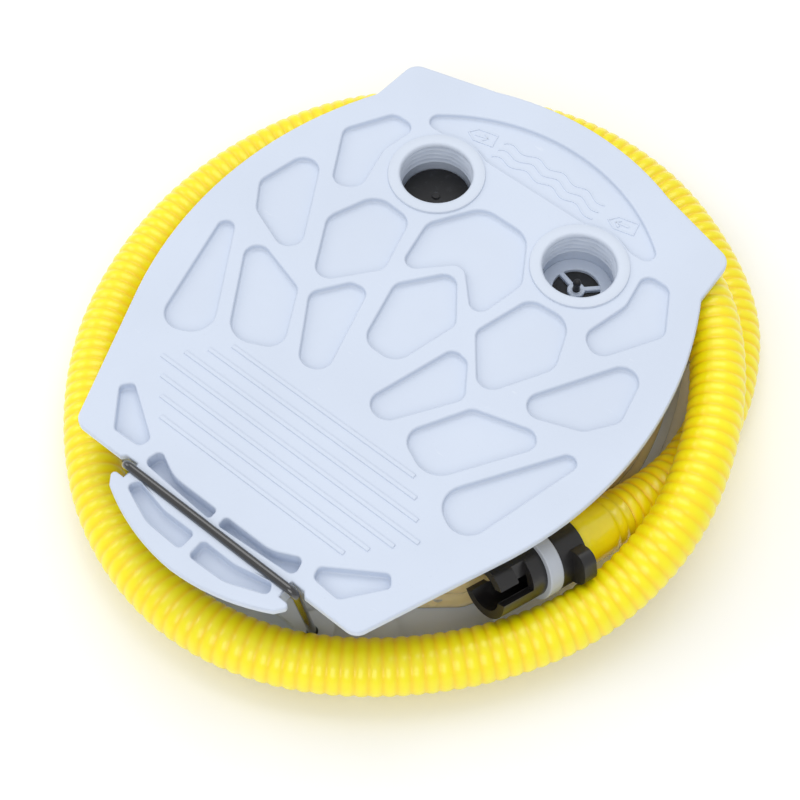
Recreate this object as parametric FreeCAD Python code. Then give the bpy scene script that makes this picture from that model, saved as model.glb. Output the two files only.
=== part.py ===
"""Bellows foot pump with its hose wound round it for storage.

Millimetres, +Z up, origin at the middle of the pump's box on the surface it stands on.
+Y points to the wide end with the two hose ports, -Y to the hinge wire at the heel.
The pedal plate turns about the wire's cross bar, and the bellows and spring between the
plates push it open. Every separate piece is one solid, or a group of like fasteners.
"""
import FreeCAD
import Part

import math
import os

from FreeCAD import Vector as V

# ---- driving dimensions -------------------------------------------------------------
HEIGHT = 64.0          # closed height, floor to tread
RIM = 3.5              # plate thickness at the rim
SLAB = 6.5             # plate thickness inside the rim
HINGE_SLAB = 11.0      # pedal thickness at the hinge wire
BASE_HEEL_SLAB = 7.0   # base thickness under it
LENGTH_HALF = 151.0    # far edge and heel tip
POCKET_DEEP = 3.0      # honeycomb pockets
FLOOR_ROUND = 1.0      # radius round each pocket's floor
RIM_ROUND = 0.9        # radius of the tread face's edges

WIRE_R = 2.0           # hinge wire
WIRE_X = 49.0          # wire legs
HINGE_Y = -127.0       # cross bar over the pedal
HINGE_Z = HEIGHT + 0.5
WIRE_FOOT_Y = -118.0   # where the wire ends lie under the base
WIRE_FOOT_Z = 2.6
WIRE_FOOT_IN = 24.0    # how far the ends reach inwards
FOOT_RISE = 11.0       # height of the bosses round the wire
WIRE_PLAY = 0.1

PORT_X = 42.5
PORT_Y = 82.0
SOCKET_FLANGE_R = 23.5
SOCKET_TUBE_R = 20.5
SOCKET_BORE_R = 17.0
SOCKET_BORE_L = 10.5   # the bore that takes the hose plug, below its mouth
SOCKET_MOUTH = 1.2     # chamfer at the mouth
CHAMBER_R = 17.6       # wider room round the valve
SOCKET_DEPTH = 24.0
SOCKET_FLANGE_T = 1.2
SEAT_DEPTH = 20.0      # top of the valve grid below the flange
SEAT_T = 2.0
SEAT_WINDOW_R = 11.5
SEAT_HUB_R = 4.2
SEAT_SPOKES = 3
SPOKE_W = 2.4
SPOKE_TURN = 44.0
FLAP_R = 16.8
FLAP_T = 1.5
FLAP_LIFT = 3.0        # how far a flap leaves its seat
STEM_R = 1.6
STEM_PLAY = 0.1
KNOB_R = 2.0

HOSE_R = 13.0
HOSE_BORE_R = 11.0
CUFF_R = 13.6
CUFF_L = 32.0
SPRING_WIRE_R = 2.0
SPRING_TURNS = 5
SPRING_BASE_R = 50.0
SPRING_TOP_R = 38.0
SPRING_Y = -8.0
SCREW_HEAD_R = 3.2
SCREW_SHANK_R = 1.5

UP = V(0, 0, 1)


# ---- drawing helpers ----------------------------------------------------------------
def cylinder(radius, height, x=0, y=0, z=0, axis=UP):
    return Part.makeCylinder(radius, height, V(x, y, z), axis)


def ring(outer, inner, height, x=0, y=0, z=0, axis=UP):
    at = V(x, y, z) - axis * 1
    return cylinder(outer, height, x, y, z, axis).cut(
        Part.makeCylinder(inner, height + 2, at, axis)
    )


def fuse(first, *others):
    return first.fuse(list(others)).removeSplitter()


def mirrored(points):
    """The same corners on the other side of the long axis, in turning order."""
    return [(-x, y, r) for x, y, r in reversed(points)]


def rounded(corners, z):
    """A closed wire of straight runs through corners (x, y, radius), each corner rounded."""
    edges = []
    starts = []
    ends = []
    for i, (x, y, radius) in enumerate(corners):
        here = V(x, y, z)
        before = V(*corners[i - 1][:2], z) - here
        after = V(*corners[(i + 1) % len(corners)][:2], z) - here
        half = before.getAngle(after) / 2
        reach = min(radius / math.tan(half), 0.49 * before.Length, 0.49 * after.Length)
        true_radius = reach * math.tan(half)
        middle = (before.normalize() + after.normalize()).normalize()
        centre = here + middle * (true_radius / math.sin(half))
        starts.append(here + before * reach)
        ends.append(here + after * reach)
        edges.append(Part.Arc(starts[-1], centre - middle * true_radius, ends[-1]).toShape())
    for i in range(len(corners)):
        edges.append(Part.LineSegment(ends[i - 1], starts[i]).toShape())
    return Part.Wire(Part.__sortEdges__(edges))


def prism(wire, height):
    return Part.Face(wire).extrude(V(0, 0, height))


def level_edges(shape, z):
    """The edges that lie in the plane at this height."""
    return [e for e in shape.Edges if abs(e.BoundBox.ZMin - z) < 1e-4 and abs(e.BoundBox.ZMax - z) < 1e-4]


def pocket(corners, top, depth):
    """A pocket's cutter, with its floor's edge rounded."""
    cutter = prism(rounded(corners, top - depth), depth + 1)
    return cutter.makeFillet(FLOOR_ROUND, level_edges(cutter, top - depth))


# ---- the outline both plates share --------------------------------------------------
FAR_BEND = (51.5, 141.0)       # where the curved far edge meets the straight one
TOE_LUG = (95.0, 129.3)
TOE_CORNER = (96.5, 103.0)     # inner corner between toe lug and side
SIDE_MIDDLE = (120.5, 16.0)
SIDE_END = (105.5, -63.0)      # where the side runs straight
HEEL_LUG = (80.5, -125.5)
NOTCH_IN = 44.8
NOTCH_TOP = -123.4
NOTCH_LOW = -132.0
TIP_CORNER = (52.0, NOTCH_LOW)  # rounded end of the heel crescent
TIP_BEND = (47.0, -138.6)


def plate_outline(z):
    """The pump's outline: four hose lugs, wire notches and a rounded heel tip."""
    edges = []

    def side(sign):
        def at(point):
            return V(sign * point[0], point[1], z)

        def line(a, b):
            edges.append(Part.LineSegment(at(a), at(b)).toShape())

        def curve(a, b, c):
            edges.append(Part.Arc(at(a), at(b), at(c)).toShape())

        def rounded_corner(before, corner, after, radius):
            """The arc at a corner. Returns its first and last point."""
            a, b, c = V(*before, 0), V(*corner, 0), V(*after, 0)
            u, w = (a - b).normalize(), (c - b).normalize()
            half = u.getAngle(w) / 2
            reach = radius / math.tan(half)
            mid = (u + w).normalize()
            centre = b + mid * (radius / math.sin(half))
            first, last, top = b + u * reach, b + w * reach, centre - mid * radius
            curve((first.x, first.y), (top.x, top.y), (last.x, last.y))
            return (first.x, first.y), (last.x, last.y)

        curve((0, LENGTH_HALF), (26.5, 148.4), FAR_BEND)
        toe_in, toe_out = rounded_corner(FAR_BEND, TOE_LUG, TOE_CORNER, 8)
        line(FAR_BEND, toe_in)
        line(toe_out, TOE_CORNER)
        curve(TOE_CORNER, SIDE_MIDDLE, SIDE_END)
        step = (53.0, HEEL_LUG[1])
        lug_in, lug_out = rounded_corner(SIDE_END, HEEL_LUG, step, 7)
        line(SIDE_END, lug_in)
        notch_mouth = (51.0, NOTCH_TOP)
        line(lug_out, step)
        line(step, notch_mouth)
        line(notch_mouth, (NOTCH_IN, NOTCH_TOP))
        line((NOTCH_IN, NOTCH_TOP), (NOTCH_IN, NOTCH_LOW))
        tip_in, tip_out = rounded_corner((NOTCH_IN, NOTCH_LOW), TIP_CORNER, TIP_BEND, 1.8)
        line((NOTCH_IN, NOTCH_LOW), tip_in)
        line(tip_out, TIP_BEND)
        curve(TIP_BEND, (29, -146.2), (0, -LENGTH_HALF))

    side(1)
    side(-1)
    return Part.Wire(Part.__sortEdges__(edges))


BELLOWS_POINTS = {              # right half: x, y and the way each point moves when inset
    "far": (0, 142, 0, -1),
    "toe": (56.7, 133, -0.35, -0.94),
    "shoulder": (91.5, 104, -0.85, -0.6),
    "side": (115.5, 16, -1, 0),
    "waist": (92, -66, -1, 0.35),
    "heel": (52, -100, -0.5, 1),
    "heel_middle": (0, -100, 0, 1),
}


def bellows_outline(inset, z):
    """The bellows' outline at its lips, moved inwards by the inset."""
    edges = []
    for sign in (1, -1):
        at = {
            name: V(sign * (x + inset * way_x), y + inset * way_y, z)
            for name, (x, y, way_x, way_y) in BELLOWS_POINTS.items()
        }
        edges += [
            Part.Arc(at["far"], at["toe"], at["shoulder"]).toShape(),
            Part.Arc(at["shoulder"], at["side"], at["waist"]).toShape(),
            Part.LineSegment(at["waist"], at["heel"]).toShape(),
            Part.LineSegment(at["heel"], at["heel_middle"]).toShape(),
        ]
    return Part.Wire(Part.__sortEdges__(edges))


# ---- pockets of the pedal, each (x, y, corner radius) -------------------------------
SIDE_POCKETS = [
    [(110.4, 19.2, 4.1), (88.5, -66.5, 10), (64.5, -54, 11)],
    [(51, -9.5, 6), (91.6, 2.4, 6.2), (58, -50.5, 12), (34.5, -39.5, 8)],
    [(97, 64, 8), (106, 26, 7), (96, 12, 8), (58.5, -2.5, 7)],
    [(68, 98.5, 5), (82, 98.5, 6), (95.3, 75.5, 6), (78, 45.5, 7), (66, 53, 7), (72, 78, 12)],
    [(35.5, 53.5, 8), (57, 55, 11), (67, 30, 9), (48.5, -3, 7), (27, 23.5, 6)],
    [(25, 10, 6), (34, 8.5, 5), (45.5, -8, 6), (24, -41, 8), (11.5, -36, 7)],
]
MIDDLE_POCKETS = [
    [(0, 44, 6), (18, 20.5, 7), (9.5, -13, 9), (-9.5, -13, 9), (-18, 20.5, 7)],
    [(-13, 81, 12), (13, 81, 12), (28, 57, 9), (22, 27, 5), (0, 49.5, 6), (-22, 27, 5), (-28, 57, 9)],
]
HEEL_CORNER_POCKET = [(48.5, -111, 3), (74, -94.5, 2.5), (78.3, -99.5, 2.5), (64.5, -117.3, 3), (50, -116.5, 3)]
HEEL_POCKET = [(2.5, -118.3, 1.8), (28, -118.3, 20), (41, -112, 2.5), (43.4, -121, 3), (2.5, -123.6, 1.5)]
TIP_POCKET = [(2.5, -132.6, 2.2), (20, -132.8, 20), (38, -129, 2), (41, -134, 2.5), (22, -141.3, 14), (2.5, -142, 2.2)]
SIGN_POCKET_R = 100.9          # curved edge of the sign pocket at the far end
SIGN_POCKET_TOP = 135.0
SIGN_POCKET_LOW = 103.6
SIGN_POCKET_ROUND = 4.5


def sign_pocket(top, depth):
    """The long curved pocket behind the ports."""
    disc = cylinder(SIGN_POCKET_R, depth + 1, 0, SIGN_POCKET_TOP - SIGN_POCKET_R, top - depth)
    keep = Part.makeBox(300, 100, depth + 1, V(-150, SIGN_POCKET_LOW, top - depth))
    shape = disc.common(keep)
    for sign in (1, -1):
        shape = shape.cut(cylinder(SOCKET_FLANGE_R + 1.8, depth + 3, sign * PORT_X, PORT_Y, top - depth - 1))
    upright = [e for e in shape.Edges if abs(abs(e.tangentAt(e.FirstParameter).z) - 1) < 1e-6]
    shape = shape.makeFillet(SIGN_POCKET_ROUND, upright)
    return shape.makeFillet(FLOOR_ROUND, level_edges(shape, top - depth))


def honeycomb(top):
    """Every pocket of the honeycomb, as cutters from above."""
    cutters = [sign_pocket(top, 2.5)]
    for corners in SIDE_POCKETS:
        cutters.append(pocket(corners, top, POCKET_DEEP))
        cutters.append(pocket(mirrored(corners), top, POCKET_DEEP))
    for corners in MIDDLE_POCKETS:
        cutters.append(pocket(corners, top, POCKET_DEEP))
    return cutters


def heel_pockets(top, heel_thick):
    """The deep pockets round the hinge wire, as cutters from above."""
    cutters = []
    groups = [
        (HEEL_CORNER_POCKET, SLAB - 2), (HEEL_POCKET, heel_thick - 3), (TIP_POCKET, heel_thick - 5)
    ]
    for corners, depth in groups:
        cutters.append(pocket(corners, top, depth))
        cutters.append(pocket(mirrored(corners), top, depth))
    return cutters


def plate_blank(heel_thick):
    """A plate with its tread face at z 0 and its inner side above, before pockets."""
    rim = prism(plate_outline(0), RIM)
    slab = prism(bellows_outline(12, 0), SLAB)
    block = [(NOTCH_IN, -109, 4), (NOTCH_IN, -133, 2), (28, -142.5, 12)]
    block = prism(rounded([*block, *mirrored(block)], 0), heel_thick)
    corner = [(46, -107, 2), (73.5, -89.5, 3), (82, -97, 3), (69, -118, 3), (46, -118, 3)]
    lumps = [prism(rounded(corner, 0), SLAB), prism(rounded(mirrored(corner), 0), SLAB)]
    return fuse(rim, slab, block, *lumps)


def pedal_plate():
    shape = plate_blank(HINGE_SLAB).mirror(V(0, 0, 0), UP)
    shape.translate(V(0, 0, HEIGHT))
    shape = shape.cut(honeycomb(HEIGHT) + heel_pockets(HEIGHT, HINGE_SLAB))
    shape = shape.makeFillet(RIM_ROUND, level_edges(shape, HEIGHT))
    seat = ring(SPRING_TOP_R + 6, SPRING_TOP_R + 3.5, 5, 0, SPRING_Y, HEIGHT - SLAB - 4)
    shape = fuse(shape, *tread_ridges(), seat)
    cutters = screw_holes(HEIGHT - RIM, 1)
    for sign in (1, -1):
        cutters.append(cylinder(SOCKET_TUBE_R + 0.3, 20, sign * PORT_X, PORT_Y, HEIGHT - 15))
    cutters.append(cylinder(WIRE_R + WIRE_PLAY, 120, -60, HINGE_Y, HINGE_Z, V(1, 0, 0)))
    return shape.cut(cutters)


RIDGES = 7
RIDGE_PITCH = 7.9
RIDGE_Y = -52.5        # the first ridge
RIDGE_MID = 74.5       # half length of the middle one
RIDGE_STEP = 7.2       # how much shorter each next one is
RIDGE_W = 2.2
RIDGE_H = 0.6


def tread_ridges():
    """Low ridges across the heel rest, longest in the middle."""
    ridges = []
    for i in range(RIDGES):
        half = RIDGE_MID - RIDGE_STEP * abs(i - RIDGES // 2)
        y = RIDGE_Y - RIDGE_PITCH * i
        ridge = Part.makeBox(2 * half, RIDGE_W, 1 + RIDGE_H, V(-half, y - RIDGE_W / 2, HEIGHT - 1))
        ridges.append(ridge.makeFillet(RIDGE_H * 0.9, level_edges(ridge, HEIGHT + RIDGE_H)))
    return ridges


def base_plate():
    under = plate_blank(BASE_HEEL_SLAB).mirror(V(0, 0, 0), UP)
    under = under.cut(honeycomb(0)[1:] + heel_pockets(0, BASE_HEEL_SLAB))
    under = under.makeFillet(RIM_ROUND, level_edges(under, 0))
    shape = under.mirror(V(0, 0, 0), UP)
    feet = [cylinder(9, FOOT_RISE, sign * WIRE_X, WIRE_FOOT_Y, 0) for sign in (1, -1)]
    beam = Part.makeBox(2 * WIRE_X, 9, FOOT_RISE, V(-WIRE_X, WIRE_FOOT_Y - 4.5, 0))
    seat = ring(SPRING_BASE_R + 6, SPRING_BASE_R + 3.5, 5, 0, SPRING_Y, SLAB - 1)
    shape = fuse(shape, *feet, beam, seat)
    return shape.cut(wire_grooves() + screw_holes(RIM, -1))


def wire_grooves():
    """Cutters for the wire's legs and for its ends under the base."""
    play = WIRE_R + 0.15
    leg_play = WIRE_R + 0.6
    cutters = []
    for sign in (1, -1):
        knee = V(sign * WIRE_X, WIRE_FOOT_Y, WIRE_FOOT_Z)
        length = WIRE_FOOT_IN + 1
        low = min(knee.x, knee.x - sign * length)
        leg = V(0, HINGE_Y - WIRE_FOOT_Y, HINGE_Z - WIRE_FOOT_Z)
        cutters += [
            Part.makeCylinder(play, length, knee, V(-sign, 0, 0)),
            Part.makeBox(length, 2 * play, WIRE_FOOT_Z, V(low, WIRE_FOOT_Y - play, 0)),
            Part.makeCylinder(leg_play, 20, knee, leg),
            Part.makeSphere(leg_play, knee),
            cylinder(leg_play, WIRE_FOOT_Z, knee.x, knee.y, 0),
        ]
    return cutters


# ---- hinge wire ---------------------------------------------------------------------
def bent_path(points, radii):
    """Straight runs joined by tangent arcs of the given radii."""
    edges = []
    last = points[0]
    for i in range(1, len(points) - 1):
        here = points[i]
        u, w = (points[i - 1] - here).normalize(), (points[i + 1] - here).normalize()
        half = u.getAngle(w) / 2
        reach = radii[i - 1] / math.tan(half)
        mid = (u + w).normalize()
        centre = here + mid * (radii[i - 1] / math.sin(half))
        first, end = here + u * reach, here + w * reach
        edges.append(Part.LineSegment(last, first).toShape())
        edges.append(Part.Arc(first, centre - mid * radii[i - 1], end).toShape())
        last = end
    edges.append(Part.LineSegment(last, points[-1]).toShape())
    return Part.Wire(edges)


def swept(path, radius):
    start = path.Edges[0]
    at = start.valueAt(start.FirstParameter)
    along = start.tangentAt(start.FirstParameter)
    return path.makePipeShell([Part.Wire(Part.makeCircle(radius, at, along))], True, True)


def hinge_wire():
    low = [V(sign * (WIRE_X - inward), WIRE_FOOT_Y, WIRE_FOOT_Z) for sign, inward in ((-1, WIRE_FOOT_IN), (-1, 0))]
    top = [V(-WIRE_X, HINGE_Y, HINGE_Z), V(WIRE_X, HINGE_Y, HINGE_Z)]
    end = [V(-p.x, p.y, p.z) for p in reversed(low)]
    return swept(bent_path(low + top + end, [3, 4, 4, 3]), WIRE_R)


# ---- bellows, its frames, screws and spring -----------------------------------------
BELLOWS_WALL = 1.2
LIP = 4.2                       # straight lip at each plate, where the frame clamps
FOLD_RISE = 5.0
FOLD_DEEP = 26.0
RIDGE_DEEP = 21.5


def bellows():
    low, high = RIM, HEIGHT - RIM
    levels = [
        (0, low), (0, low + LIP), (FOLD_DEEP, low + LIP + FOLD_RISE), (RIDGE_DEEP, (low + high) / 2),
        (FOLD_DEEP, high - LIP - FOLD_RISE), (0, high - LIP), (0, high),
    ]
    outer = Part.makeLoft([bellows_outline(d, z) for d, z in levels], True, True)
    inner = Part.makeLoft([bellows_outline(d + BELLOWS_WALL, z) for d, z in levels], True, True)
    return outer.cut(inner)


FRAME_IN = 9.0
FRAME_T = 2.2


def clamp_frame(z):
    """Flat frame that pins the bellows' lip to a plate."""
    body = prism(bellows_outline(BELLOWS_WALL + 0.4, z), FRAME_T)
    opening = prism(bellows_outline(FRAME_IN + 2.0, z - 1), FRAME_T + 2)
    return body.cut(opening)


def screw_points():
    """Where the frame's screws go, spaced along its middle line."""
    line = bellows_outline((BELLOWS_WALL + FRAME_IN + 0.8) / 2, 0)
    return [V(p.x, p.y, 0) for p in line.discretize(Number=SCREWS + 1)[:-1]]


SCREWS = 16
SCREW_BITE = 2.6


def screw_holes(face, way):
    """Blind pilot holes from a plate's inner rim face. way is 1 up, -1 down."""
    start = face if way > 0 else face - SCREW_BITE - 0.2
    return [cylinder(SCREW_SHANK_R, SCREW_BITE + 0.2, p.x, p.y, start) for p in screw_points()]


def frame_screws(face, way):
    """Round-headed screws, heads inside the bellows."""
    solids = []
    for p in screw_points():
        axis = V(0, 0, way)
        under_head = V(p.x, p.y, face - way * FRAME_T)
        shank = Part.makeCylinder(SCREW_SHANK_R, FRAME_T + SCREW_BITE, under_head, axis)
        head = Part.makeCylinder(SCREW_HEAD_R, 1.6, under_head, axis * -1)
        slot_low = under_head.z - 1.6 if way > 0 else under_head.z + 0.8
        slot = Part.makeBox(2 * SCREW_HEAD_R, 0.8, 0.8, V(p.x - SCREW_HEAD_R, p.y - 0.4, slot_low))
        solids.append(shank.fuse(head).cut(slot).removeSplitter())
    return Part.makeCompound(solids)


def frame_with_holes(z, face):
    holes = [cylinder(SCREW_SHANK_R, FRAME_T + 2, p.x, p.y, z - 1) for p in screw_points()]
    return clamp_frame(z).cut(holes)


def return_spring():
    """Cone of round wire between the two spring seats."""
    low = SLAB + SPRING_WIRE_R + 0.1
    rise = HEIGHT - 2 * SLAB - 2 * SPRING_WIRE_R - 0.2
    pitch = rise / SPRING_TURNS
    angle = -math.degrees(math.atan((SPRING_BASE_R - SPRING_TOP_R) / rise))
    helix = Part.makeHelix(pitch, rise, SPRING_BASE_R, angle)
    path = Part.Wire(helix.Edges)
    coil = swept(path, SPRING_WIRE_R)
    coil.translate(V(0, SPRING_Y, low))
    return coil


# ---- port sockets and their valves --------------------------------------------------
def valve_grid(x):
    top = HEIGHT + SOCKET_FLANGE_T - SEAT_DEPTH
    rim = ring(SOCKET_TUBE_R, SEAT_WINDOW_R, SEAT_T, x, PORT_Y, top - SEAT_T)
    hub = cylinder(SEAT_HUB_R, SEAT_T, x, PORT_Y, top - SEAT_T)
    spokes = []
    for i in range(SEAT_SPOKES):
        spoke = Part.makeBox(SEAT_WINDOW_R + 1, SPOKE_W, SEAT_T, V(x, PORT_Y - SPOKE_W / 2, top - SEAT_T))
        spoke.rotate(V(x, PORT_Y, 0), UP, SPOKE_TURN + 360 / SEAT_SPOKES * i)
        spokes.append(spoke)
    return [rim, hub, *spokes]


def port_socket(x):
    top = HEIGHT + SOCKET_FLANGE_T
    flange = cylinder(SOCKET_FLANGE_R, SOCKET_FLANGE_T, x, PORT_Y, HEIGHT)
    tube = cylinder(SOCKET_TUBE_R, SOCKET_DEPTH, x, PORT_Y, top - SOCKET_DEPTH)
    bore = cylinder(SOCKET_BORE_R, SOCKET_DEPTH + 2, x, PORT_Y, top - SOCKET_DEPTH - 1)
    chamber_top = top - SOCKET_MOUTH - SOCKET_BORE_L
    chamber = cylinder(CHAMBER_R, chamber_top - top + SOCKET_DEPTH + 1, x, PORT_Y, top - SOCKET_DEPTH - 1)
    mouth = Part.makeCone(
        SOCKET_BORE_R, SOCKET_BORE_R + SOCKET_MOUTH, SOCKET_MOUTH, V(x, PORT_Y, top - SOCKET_MOUTH), UP
    )
    body = flange.fuse(tube).cut([bore, chamber, mouth])
    body = fuse(body, *valve_grid(x))
    return body.cut(cylinder(STEM_R + STEM_PLAY, 10, x, PORT_Y, top - SEAT_DEPTH - 5))


NUT_T = 4.0
GASKET_T = 1.0


def socket_gasket(x):
    return ring(SOCKET_FLANGE_R + 1.0, SOCKET_TUBE_R + 0.4, GASKET_T, x, PORT_Y, HEIGHT - SLAB - GASKET_T)


def socket_nut(x):
    """Ring nut under the pedal, with four finger notches."""
    z = HEIGHT - SLAB - GASKET_T - NUT_T
    nut = ring(SOCKET_FLANGE_R + 1.0, SOCKET_TUBE_R + 0.05, NUT_T, x, PORT_Y, z)
    for i in range(4):
        notch = Part.makeBox(6, 5, NUT_T + 2, V(x + SOCKET_FLANGE_R - 0.8, PORT_Y - 2.5, z - 1))
        notch.rotate(V(x, PORT_Y, 0), UP, 45 + 90 * i)
        nut = nut.cut(notch)
    return nut


def outlet_flap():
    """Rubber disc above its grid: air can only leave."""
    seat = HEIGHT + SOCKET_FLANGE_T - SEAT_DEPTH
    disc = cylinder(FLAP_R, FLAP_T, -PORT_X, PORT_Y, seat)
    button = cylinder(KNOB_R, FLAP_T + 0.8, -PORT_X, PORT_Y, seat)
    stem = cylinder(STEM_R, SEAT_T + FLAP_LIFT + 1.5, -PORT_X, PORT_Y, seat - SEAT_T - FLAP_LIFT - 1)
    knob = cylinder(KNOB_R, 2.0, -PORT_X, PORT_Y, seat - SEAT_T - FLAP_LIFT - 2.4)
    return fuse(disc, button, stem, knob)


def inlet_flap():
    """Rubber disc below its grid: air can only enter."""
    under = HEIGHT + SOCKET_FLANGE_T - SEAT_DEPTH - SEAT_T
    disc = cylinder(FLAP_R, FLAP_T, PORT_X, PORT_Y, under - FLAP_T)
    stem = cylinder(STEM_R, SEAT_T + FLAP_LIFT + 1.5, PORT_X, PORT_Y, under - 0.5)
    knob = Part.makeSphere(KNOB_R, V(PORT_X, PORT_Y, under + SEAT_T + FLAP_LIFT + KNOB_R + 0.1))
    return fuse(disc, stem, knob)


# ---- hose ---------------------------------------------------------------------------
# The route starts at the cuff by the right side, runs anticlockwise under itself, once
# round the pump, up over its own start and on under the pedal's far edge.
HOSE_ROUTE = [
    (123.5, 6.5, 23), (131.5, 36, 15.5), (130.5, 70, 14), (122, 103, 13.1), (103, 136, 13.1), (70, 160, 13.1),
    (28, 177, 13.1), (-22, 178, 13.1), (-72, 158, 13.1), (-112, 128, 13.1), (-138, 88, 13.1), (-151, 36, 13.1),
    (-149, -16, 13.1), (-131, -68, 14), (-98, -110, 16.5), (-56, -141, 18.5), (-4, -154, 20), (44, -144.5, 20),
    (86, -117, 18), (122, -77, 18), (144, -34, 21), (151, 10, 38), (139, 54, 43), (118, 92, 44),
    (90, 121, 42.5), (54, 136, 39), (20, 137.5, 37),
]


def hose_path():
    points = [V(*p) for p in HOSE_ROUTE]
    radii = []
    for i in range(1, len(points) - 1):
        back, on = points[i - 1] - points[i], points[i + 1] - points[i]
        turn = math.pi - back.getAngle(on)
        radii.append(0.45 * min(back.Length, on.Length) / math.tan(turn / 2))
    print("hose bend radii", [round(r) for r in radii])
    return bent_path(points, radii)


def hose():
    path = hose_path()
    tube = swept(path, HOSE_R).cut(swept(path, HOSE_BORE_R))
    section = math.pi * (HOSE_R ** 2 - HOSE_BORE_R ** 2)
    print("hose length", round(path.Length), "volume ratio", round(tube.Volume / (section * path.Length), 4))
    return tube


def hose_ends():
    """(point, outward direction) of each end of the hose."""
    first, second = V(*HOSE_ROUTE[0]), V(*HOSE_ROUTE[1])
    last, before = V(*HOSE_ROUTE[-1]), V(*HOSE_ROUTE[-2])
    return (first, (first - second).normalize()), (last, (last - before).normalize())


def placed(shape, at, along):
    """Moves a shape drawn along +Z from the origin to a point and direction."""
    turned = shape.copy()
    turned.Placement = FreeCAD.Placement(at, FreeCAD.Rotation(UP, along))
    return turned


def cuff(end):
    at, along = end
    return placed(ring(CUFF_R, HOSE_BORE_R, CUFF_L), at, along)


COLLAR_L = 14.5
COLLAR_R = 15.5
WASHER_L = 7.5
WASHER_R = 16.0
TIP_L = 25.0
WING_ANGLE = -76         # the outer wing lies over the hose
TIP_R = 13.5
TIP_BORE_R = 9.5
SLOT_DEEP = 4.5          # right through the wall


def nozzle_body():
    """Bayonet adapter: spigot, winged collar and a tip with two hooked slots."""
    spigot = cylinder(HOSE_BORE_R - 0.05, 20, 0, 0, CUFF_L - 20)
    collar = cylinder(COLLAR_R, COLLAR_L, 0, 0, CUFF_L)
    neck = cylinder(TIP_R - 1.5, WASHER_L, 0, 0, CUFF_L + COLLAR_L)
    tip = cylinder(TIP_R, TIP_L, 0, 0, CUFF_L + COLLAR_L + WASHER_L)
    wings = []
    reach = COLLAR_R + 7
    for angle in (WING_ANGLE, WING_ANGLE + 180):
        wing = prism(rounded([(-8, 0, 1), (8, 0, 1), (8, reach, 6), (-8, reach, 6)], 0), 7)
        wing.translate(V(0, 0, CUFF_L + 1.5))
        wing.rotate(V(0, 0, 0), UP, angle)
        wings.append(wing)
    body = fuse(spigot, collar, neck, tip, *wings)
    body = body.cut(cylinder(TIP_BORE_R, 200, 0, 0, -10))
    end = CUFF_L + COLLAR_L + WASHER_L + TIP_L
    for angle in (0, 180):
        slot = Part.makeBox(9, 7, 18, V(TIP_R - SLOT_DEEP, -3.5, end - 17))
        hook = Part.makeBox(9, 14, 7, V(TIP_R - SLOT_DEEP, -3.5, end - 17))
        for cutter in (slot, hook):
            cutter.rotate(V(0, 0, 0), UP, angle + 20)
            body = body.cut(cutter)
    return body


def nozzle_washer():
    return ring(WASHER_R, TIP_R - 1.5, WASHER_L, 0, 0, CUFF_L + COLLAR_L)


PLUG_COLLAR_L = 10.0
PLUG_COLLAR_R = 17.0
PLUG_THREAD_L = 9.0
PLUG_PITCH = 3.0
PLUG_THREAD_R = 16.4
PLUG_CORE_R = 15.4


def plug_body():
    """Threaded plug that screws into either port."""
    spigot = cylinder(HOSE_BORE_R - 0.05, 20, 0, 0, CUFF_L - 20)
    collar = cylinder(PLUG_COLLAR_R, PLUG_COLLAR_L, 0, 0, CUFF_L)
    grips = []
    for i in range(12):
        grips.append(cylinder(1.6, PLUG_COLLAR_L + 2, PLUG_COLLAR_R + 0.6, 0, CUFF_L - 1).rotated(V(0, 0, 0), UP, 30 * i))
    core = cylinder(PLUG_CORE_R, PLUG_THREAD_L + 2, 0, 0, CUFF_L + PLUG_COLLAR_L)
    crests = []
    for i in range(3):
        z = CUFF_L + PLUG_COLLAR_L + 3.0 + i * PLUG_PITCH
        crests.append(cylinder(PLUG_THREAD_R, 1.2, 0, 0, z))
    body = fuse(spigot, collar.cut(grips), core, *crests)
    return body.cut(cylinder(TIP_BORE_R, 200, 0, 0, -10))


def plug_washer():
    return ring(PLUG_COLLAR_R - 0.5, PLUG_CORE_R + 0.02, 2.0, 0, 0, CUFF_L + PLUG_COLLAR_L)


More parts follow.
